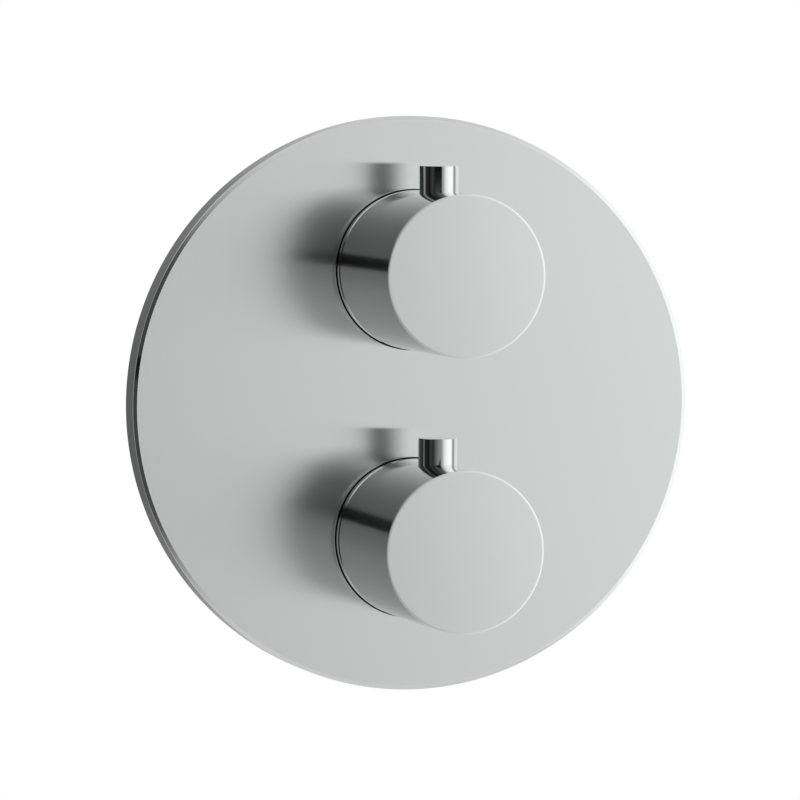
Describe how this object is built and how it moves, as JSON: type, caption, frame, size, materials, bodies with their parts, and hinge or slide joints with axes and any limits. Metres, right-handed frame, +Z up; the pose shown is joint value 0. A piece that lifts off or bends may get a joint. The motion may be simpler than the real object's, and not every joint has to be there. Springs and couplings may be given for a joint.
{
  "type": "concealed thermostatic shower valve",
  "caption": "Concealed thermostatic shower mixer: round chromed wall plate with two long cylindrical knobs, each with a short pin, on a brass in-wall body with cartridges and check valves.",
  "frame": {"origin": "centre of the face plate's back plane, on the finished wall", "axes": "+Z up, +X to the right for somebody facing the wall, -Y out of the wall into the room and +Y into the wall"},
  "size_m": [0.18, 0.131, 0.18],
  "materials": {
    "satin_chrome": "satin chrome on brass",
    "polished_chrome": "polished chrome on brass",
    "cast_brass": "blasted brass casting with machined faces",
    "turned_brass": "turned brass",
    "stainless_steel": "stainless steel",
    "zinc_steel": "zinc-plated sheet steel",
    "copper": "drawn copper",
    "white_plastic": "moulded acetal",
    "grey_plastic": "moulded glass-filled polyamide",
    "black_plastic": "moulded polysulphone",
    "ceramic": "lapped alumina ceramic",
    "black_rubber": "nitrile rubber",
    "foam_rubber": "closed-cell foam"
  },
  "bodies": {
    "wall_unit": {"face_plate": "satin_chrome", "plate_wall_seal": "foam_rubber", "valve_body": "cast_brass", "riser_plug": "turned_brass", "mounting_bracket": "zinc_steel", "bracket_screws": "zinc_steel", "diverter_stop_ring": "black_plastic", "temperature_stop_ring": "black_plastic", "thermostat_housing": "grey_plastic", "thermostat_housing_seals": "black_rubber", "thermostat_filters": "stainless_steel", "return_spring": "stainless_steel", "thermostat_end_disc": "turned_brass", "diverter_housing": "turned_brass", "diverter_seals": "black_rubber", "fixed_disc": "ceramic", "diverter_base": "white_plastic", "diverter_base_seals": "black_rubber", "diverter_sleeve": "polished_chrome", "temperature_sleeve": "polished_chrome", "diverter_sleeve_seal": "black_rubber", "temperature_sleeve_seal": "black_rubber", "diverter_bonnet": "turned_brass", "temperature_bonnet": "turned_brass", "hot_inlet_strainer": "stainless_steel", "cold_inlet_strainer": "stainless_steel", "hot_check_cage": "white_plastic", "cold_check_cage": "white_plastic", "hot_check_seal": "black_rubber", "cold_check_seal": "black_rubber", "hot_check_spring": "stainless_steel", "cold_check_spring": "stainless_steel"},
    "diverter_control": {"diverter_knob": "satin_chrome", "diverter_pin": "polished_chrome", "diverter_grub_screw": "stainless_steel", "diverter_adapter": "white_plastic", "diverter_adapter_screw": "stainless_steel", "diverter_spindle": "turned_brass", "diverter_circlip": "stainless_steel", "diverter_spindle_seal": "black_rubber", "disc_carrier": "white_plastic", "moving_disc": "ceramic"},
    "temperature_control": {"temperature_knob": "satin_chrome", "temperature_pin": "polished_chrome", "temperature_grub_screw": "stainless_steel", "temperature_adapter": "white_plastic", "temperature_adapter_screw": "stainless_steel", "temperature_spindle": "turned_brass", "temperature_circlip": "stainless_steel", "temperature_spindle_seal": "black_rubber"},
    "setting_nut": {"regulating_nut": "turned_brass", "overload_spring": "stainless_steel", "overload_plunger": "turned_brass", "nut_snap_ring": "stainless_steel", "wax_piston": "stainless_steel"},
    "mixing_shuttle": {"wax_element": "copper", "thermostat_shuttle": "black_plastic"},
    "hot_poppet": {"hot_check_poppet": "white_plastic"},
    "cold_poppet": {"cold_check_poppet": "white_plastic"}
  },
  "joints": [
    {"name": "diverter_turn", "type": "hinge", "parent": "wall_unit", "child": "diverter_control", "pos_m": [0, -0.0685, 0.042], "axis": [0, -1, 0], "range_deg": [-90, 90]},
    {"name": "temperature_turn", "type": "hinge", "parent": "wall_unit", "child": "temperature_control", "pos_m": [0, -0.0685, -0.042], "axis": [0, -1, 0], "range_deg": [-150, 90]},
    {"name": "nut_travel", "type": "slide", "parent": "wall_unit", "child": "setting_nut", "axis": [0, 1, 0], "range_m": [-0.00102, 0.0017]},
    {"name": "shuttle_travel", "type": "slide", "parent": "wall_unit", "child": "mixing_shuttle", "axis": [0, 1, 0], "range_m": [-0.00041, 0.00068], "deforming": ["return_spring"]},
    {"name": "hot_check_lift", "type": "slide", "parent": "wall_unit", "child": "hot_poppet", "axis": [1, 0, 0], "range_m": [0, 0.003], "stiffness_N_per_m": 60, "springref_m": -0.004, "deforming": ["hot_check_spring"]},
    {"name": "cold_check_lift", "type": "slide", "parent": "wall_unit", "child": "cold_poppet", "axis": [-1, 0, 0], "range_m": [0, 0.003], "stiffness_N_per_m": 60, "springref_m": -0.004, "deforming": ["cold_check_spring"]}
  ],
  "couplings": [
    {"joint": "nut_travel", "follows": "temperature_turn", "m_per_rad": -0.00063662},
    {"joint": "shuttle_travel", "follows": "temperature_turn", "m_per_rad": -0.00025465}
  ]
}
